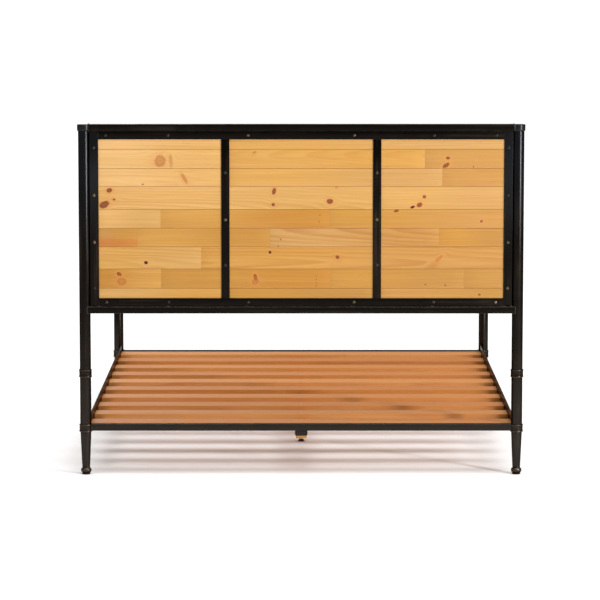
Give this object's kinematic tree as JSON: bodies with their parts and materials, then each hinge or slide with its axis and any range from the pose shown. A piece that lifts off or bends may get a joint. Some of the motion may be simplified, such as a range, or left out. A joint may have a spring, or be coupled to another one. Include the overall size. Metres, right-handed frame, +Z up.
{
  "type": "bed frame",
  "caption": "Queen-size bed frame: iron posts, rails and straps around a pine-board headboard, with a slatted deck and a levelled centre beam.",
  "frame": {"origin": "on the floor at the middle of the bed", "axes": "+Z up, +Y from the head to the foot of the bed, +X to the right seen from behind the headboard"},
  "size_m": [1.628, 2.133, 1.286],
  "materials": {
    "iron": "hand-rubbed oil-bronze paint, satin, worn to warm brass brown at edges",
    "pine_boards": "waxed honey pine, random widths, tight knots",
    "deck_wood": "oiled planed pine",
    "pad_nylon": "moulded, matte",
    "zinc_steel": "zinc plated"
  },
  "bodies": {
    "frame": {"head_post_left": "iron", "head_post_cap_left": "iron", "head_rail_collar_left": "iron", "head_leg_left": "iron", "head_post_right": "iron", "head_post_cap_right": "iron", "head_rail_collar_right": "iron", "head_leg_right": "iron", "foot_post_left": "iron", "foot_post_cap_left": "iron", "foot_rail_collar_left": "iron", "foot_leg_left": "iron", "foot_post_right": "iron", "foot_post_cap_right": "iron", "foot_rail_collar_right": "iron", "foot_leg_right": "iron", "head_mid_collar_left": "iron", "head_mid_collar_right": "iron", "headboard_top_rail": "iron", "headboard_bottom_rail": "iron", "footboard_top_rail": "iron", "headboard_lower_rail": "iron", "footboard_lower_rail": "iron", "panel_channel_left": "iron", "panel_channel_right": "iron", "panel_channel_top": "iron", "panel_channel_bottom": "iron", "back_strap_left": "iron", "back_strap_right": "iron", "front_strap_left": "iron", "front_strap_right": "iron", "headboard_board_1": "pine_boards", "headboard_board_2": "pine_boards", "headboard_board_3": "pine_boards", "headboard_board_4": "pine_boards", "headboard_board_5": "pine_boards", "headboard_board_6": "pine_boards", "headboard_board_7": "pine_boards", "headboard_board_8": "pine_boards", "headboard_board_9": "pine_boards", "side_rail_left": "iron", "side_rail_right": "iron", "slat_01": "deck_wood", "slat_02": "deck_wood", "slat_03": "deck_wood", "slat_04": "deck_wood", "slat_05": "deck_wood", "slat_06": "deck_wood", "slat_07": "deck_wood", "slat_08": "deck_wood", "slat_09": "deck_wood", "slat_10": "deck_wood", "centre_beam": "deck_wood", "centre_leg_head": "deck_wood", "centre_leg_foot": "deck_wood"},
    "head_pad": {"leveller_pad_head": "pad_nylon"},
    "head_stud": {"leveller_stud_head": "zinc_steel"},
    "foot_pad": {"leveller_pad_foot": "pad_nylon"},
    "foot_stud": {"leveller_stud_foot": "zinc_steel"}
  },
  "joints": [
    {"name": "head_leveller_height", "type": "slide", "parent": "frame", "child": "head_pad", "axis": [0, 0, -1], "range_m": [-0.001, 0.012]},
    {"name": "head_leveller_turn", "type": "hinge", "parent": "head_pad", "child": "head_stud", "pos_m": [0, -0.2825, 0.02], "axis": [0, 0, -1], "range_deg": [-290, 3460]},
    {"name": "foot_leveller_height", "type": "slide", "parent": "frame", "child": "foot_pad", "axis": [0, 0, -1], "range_m": [-0.001, 0.012]},
    {"name": "foot_leveller_turn", "type": "hinge", "parent": "foot_pad", "child": "foot_stud", "pos_m": [0, 0.2825, 0.02], "axis": [0, 0, -1], "range_deg": [-290, 3460]}
  ],
  "couplings": [
    {"joint": "head_leveller_turn", "follows": "head_leveller_height", "rad_per_m": 5026.5},
    {"joint": "foot_leveller_turn", "follows": "foot_leveller_height", "rad_per_m": 5026.5}
  ]
}
